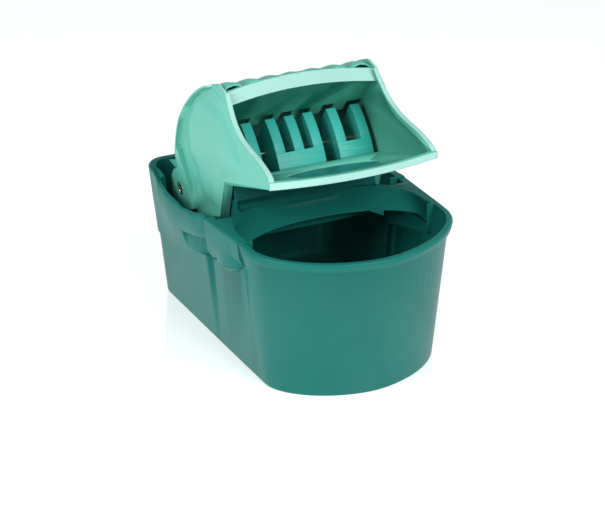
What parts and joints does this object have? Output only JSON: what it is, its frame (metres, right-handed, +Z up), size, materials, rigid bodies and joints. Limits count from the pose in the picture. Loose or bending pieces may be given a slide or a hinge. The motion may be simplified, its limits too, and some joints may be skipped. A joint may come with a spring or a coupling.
{
  "type": "mop bucket with wringer",
  "caption": "Oval-nosed plastic mop bucket with a lift-off wringer: a rocking hopper hood on two rear pins works over a fixed finned comb.",
  "frame": {"origin": "on the floor under the middle of the bucket's footprint box", "axes": "+Z up, -Y towards the rounded nose of the bucket, +X to the right of someone who faces the mouth of the wringer from the nose end looking along +Y"},
  "size_m": [0.2974, 0.4066, 0.3355],
  "materials": {
    "bucket_plastic": "satin moulded polypropylene, dark teal",
    "cradle_plastic": "satin moulded polypropylene, dark teal",
    "hood_plastic": "satin moulded polypropylene, light sea green",
    "steel": "drawn wire and rod, zinc plated",
    "rivet_metal": "tubular rivet, bright rolled head",
    "nylon": "natural nylon"
  },
  "bodies": {
    "bucket": {"bucket_body": "bucket_plastic"},
    "cradle": {"cradle_frame": "cradle_plastic", "drain_tray": "cradle_plastic", "comb_left": "cradle_plastic", "comb_middle": "cradle_plastic", "comb_right": "cradle_plastic", "comb_rod": "steel", "rod_cap_left": "nylon", "rod_cap_right": "nylon", "hinge_pin_left": "rivet_metal", "hinge_pin_right": "rivet_metal", "pin_washer_left": "steel", "pin_washer_right": "steel", "return_spring_left": "steel", "return_spring_right": "steel"},
    "hood": {"hood_body": "hood_plastic", "hood_back": "hood_plastic", "hood_badge": "cradle_plastic", "hinge_bush_left": "nylon", "hinge_bush_right": "nylon"}
  },
  "joints": [
    {"name": "wringer_lift", "type": "slide", "parent": "bucket", "child": "cradle", "axis": [0, 0, 1], "range_m": [0, 0.2]},
    {"name": "hood_press", "type": "hinge", "parent": "cradle", "child": "hood", "pos_m": [0, 0.13536, 0.163], "axis": [1, 0, 0], "range_deg": [0, 12], "stiffness_Nm_per_rad": 3, "springref_deg": -20.05}
  ]
}
